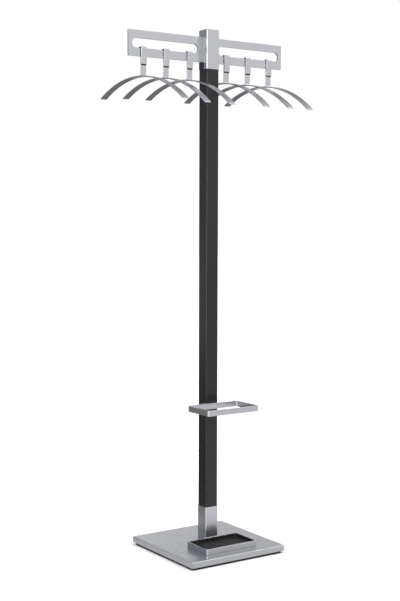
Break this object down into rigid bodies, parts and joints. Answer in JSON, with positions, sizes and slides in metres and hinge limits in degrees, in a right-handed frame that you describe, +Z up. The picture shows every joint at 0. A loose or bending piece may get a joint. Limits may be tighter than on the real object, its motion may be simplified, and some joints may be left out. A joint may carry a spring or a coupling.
{
  "type": "standing coat rack",
  "caption": "Free-standing coat rack: square post on a heavy base, slotted head rail with sliding bar hangers, and an umbrella hoop above a lift-out drip tray.",
  "frame": {"origin": "centre of the underside of the base's mat, on the floor below the post's axis", "axes": "+Z up along the post; +X along the head rail; -Y is the front, where the umbrella hoop and the drip tray are"},
  "size_m": [0.65, 0.5361, 1.8532],
  "materials": {
    "satin_silver": "satin",
    "base_silver": "fine satin lacquer",
    "zinc_steel": "zinc plated",
    "black_paint": "satin powder coat",
    "black_plastic": "fine matt",
    "black_rubber": "matt",
    "fibre_board": "raw"
  },
  "bodies": {
    "stand": {"floor_mat": "black_rubber", "ballast_plate": "zinc_steel", "base_washer": "zinc_steel", "base_bolt": "zinc_steel", "base_board": "fibre_board", "base_cover": "base_silver", "post_tube": "black_paint", "post_insert": "zinc_steel", "foot_sleeve": "satin_silver", "head_sleeve": "satin_silver", "rail_keeper": "black_plastic", "rail": "satin_silver", "rail_core": "black_plastic", "rail_clamp": "black_plastic", "rail_bolt_1": "zinc_steel", "rail_bolt_2": "zinc_steel", "head_cap": "satin_silver", "umbrella_hoop": "satin_silver", "hoop_spacer": "black_plastic", "hoop_screw_1": "zinc_steel", "hoop_screw_2": "zinc_steel", "tray_frame": "satin_silver", "tray_screw_1": "zinc_steel", "tray_screw_2": "zinc_steel"},
    "hanger_1": {"hanger_1_saddle": "satin_silver", "hanger_1_liner": "black_plastic", "hanger_1_stem": "satin_silver", "hanger_1_rivet": "zinc_steel", "hanger_1_arms": "satin_silver"},
    "hanger_2": {"hanger_2_saddle": "satin_silver", "hanger_2_liner": "black_plastic", "hanger_2_stem": "satin_silver", "hanger_2_rivet": "zinc_steel", "hanger_2_arms": "satin_silver"},
    "hanger_3": {"hanger_3_saddle": "satin_silver", "hanger_3_liner": "black_plastic", "hanger_3_stem": "satin_silver", "hanger_3_rivet": "zinc_steel", "hanger_3_arms": "satin_silver"},
    "hanger_4": {"hanger_4_saddle": "satin_silver", "hanger_4_liner": "black_plastic", "hanger_4_stem": "satin_silver", "hanger_4_rivet": "zinc_steel", "hanger_4_arms": "satin_silver"},
    "hanger_5": {"hanger_5_saddle": "satin_silver", "hanger_5_liner": "black_plastic", "hanger_5_stem": "satin_silver", "hanger_5_rivet": "zinc_steel", "hanger_5_arms": "satin_silver"},
    "hanger_6": {"hanger_6_saddle": "satin_silver", "hanger_6_liner": "black_plastic", "hanger_6_stem": "satin_silver", "hanger_6_rivet": "zinc_steel", "hanger_6_arms": "satin_silver"},
    "tray_insert": {"tray_insert": "black_plastic"}
  },
  "joints": [
    {"name": "hanger_1_slide", "type": "slide", "parent": "stand", "child": "hanger_1", "axis": [1, 0, 0], "range_m": [-0.016, 0.0312]},
    {"name": "hanger_2_slide", "type": "slide", "parent": "stand", "child": "hanger_2", "axis": [1, 0, 0], "range_m": [-0.0312, 0.0344]},
    {"name": "hanger_3_slide", "type": "slide", "parent": "stand", "child": "hanger_3", "axis": [1, 0, 0], "range_m": [-0.0344, 0.0075]},
    {"name": "hanger_4_slide", "type": "slide", "parent": "stand", "child": "hanger_4", "axis": [1, 0, 0], "range_m": [-0.0075, 0.0285]},
    {"name": "hanger_5_slide", "type": "slide", "parent": "stand", "child": "hanger_5", "axis": [1, 0, 0], "range_m": [-0.0285, 0.0298]},
    {"name": "hanger_6_slide", "type": "slide", "parent": "stand", "child": "hanger_6", "axis": [1, 0, 0], "range_m": [-0.0298, 0.018]},
    {"name": "tray_insert_lift", "type": "slide", "parent": "stand", "child": "tray_insert", "axis": [0, 0, 1], "range_m": [0, 0.08]}
  ]
}
